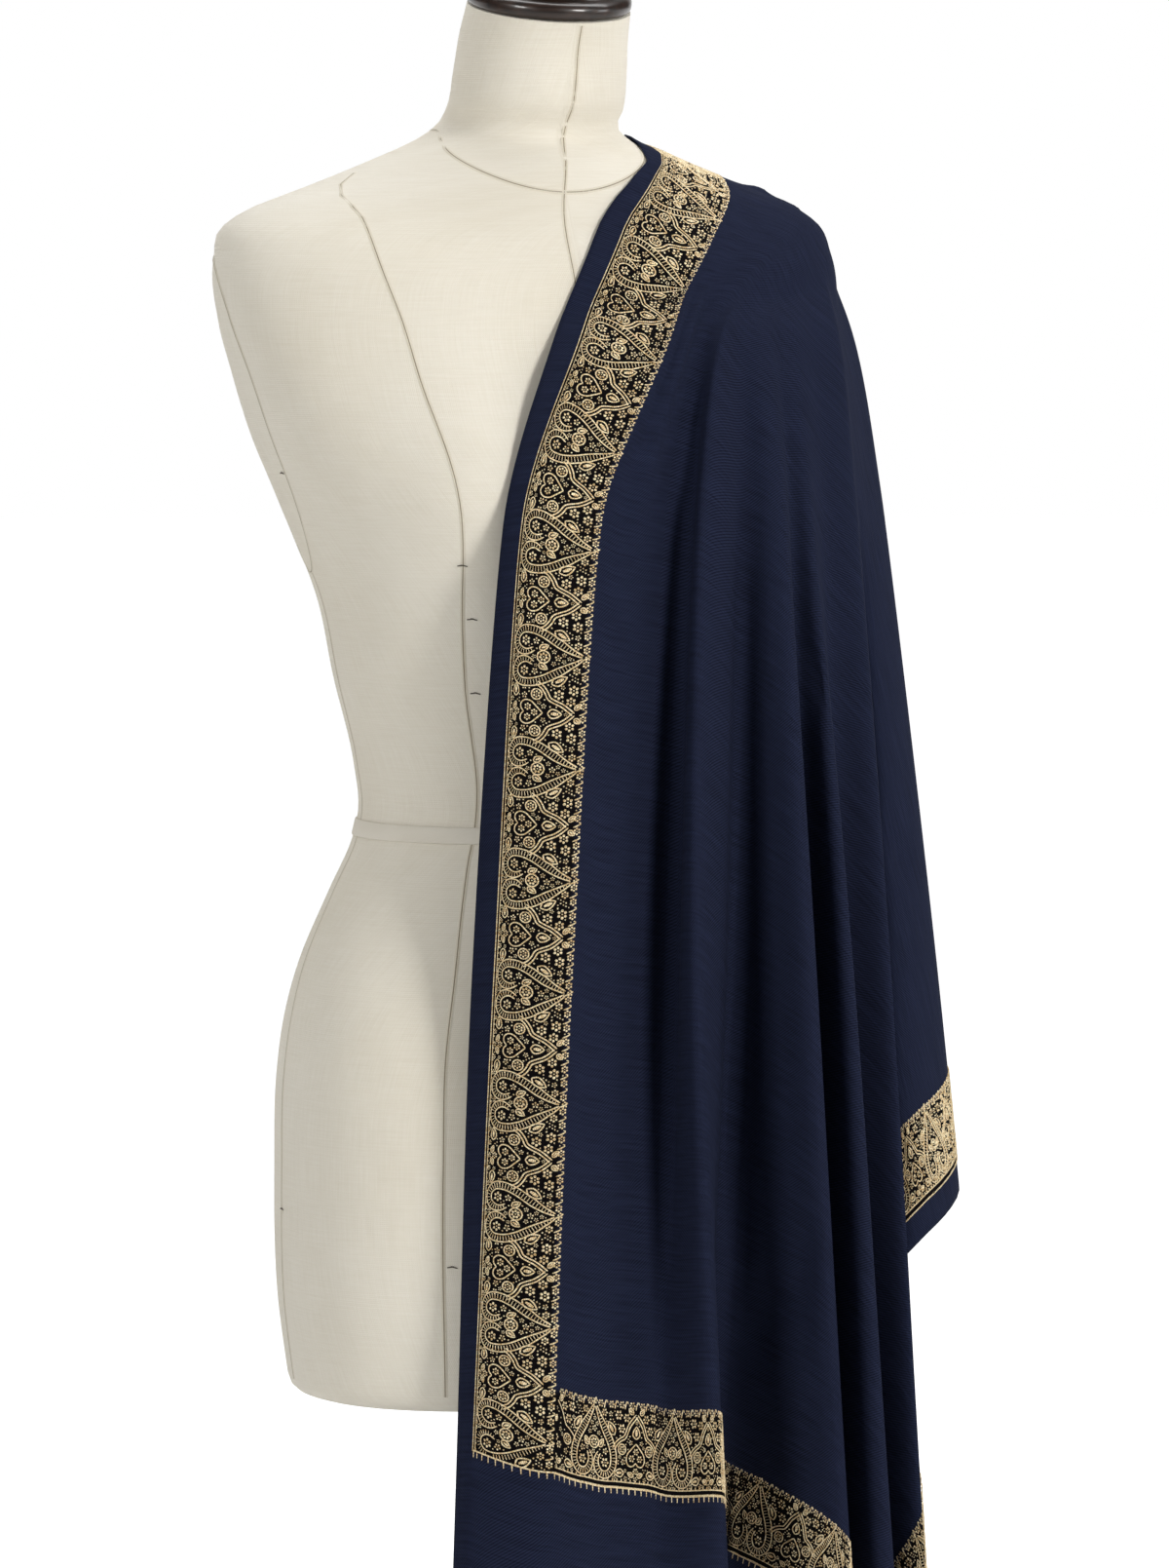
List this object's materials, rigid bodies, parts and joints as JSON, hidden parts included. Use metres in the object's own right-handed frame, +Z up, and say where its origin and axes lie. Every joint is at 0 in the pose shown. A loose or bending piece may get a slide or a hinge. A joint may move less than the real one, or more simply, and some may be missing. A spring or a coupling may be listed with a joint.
{
  "type": "pashmina shawl on a limbless dress form",
  "caption": "Long embroidered-border stole hung in deep folds over one shoulder of a limbless dress form on a round-based stand.",
  "frame": {"origin": "centre of the underside of the stand's round base, on the floor", "axes": "+Z up along the stand's pole; the form's front faces -Y turned 20 degrees towards +X, and the stole hangs over its left shoulder, on +X"},
  "size_m": [0.4356, 0.4028, 1.5293],
  "materials": {
    "pashmina": "fine soft twill, brushed",
    "canvas": "tight plain-weave canvas",
    "twill_tape": "cotton twill tape",
    "turned_wood": "dark stained, satin varnish",
    "painted_steel": "satin black",
    "painted_iron": "satin black paint"
  },
  "bodies": {
    "root": {"shawl_front": "pashmina", "shawl_back": "pashmina", "form_torso": "canvas", "waist_tape": "twill_tape", "neck_cap": "turned_wood", "stand_pole": "painted_steel", "stand_base": "painted_iron"}
  },
  "joints": []
}
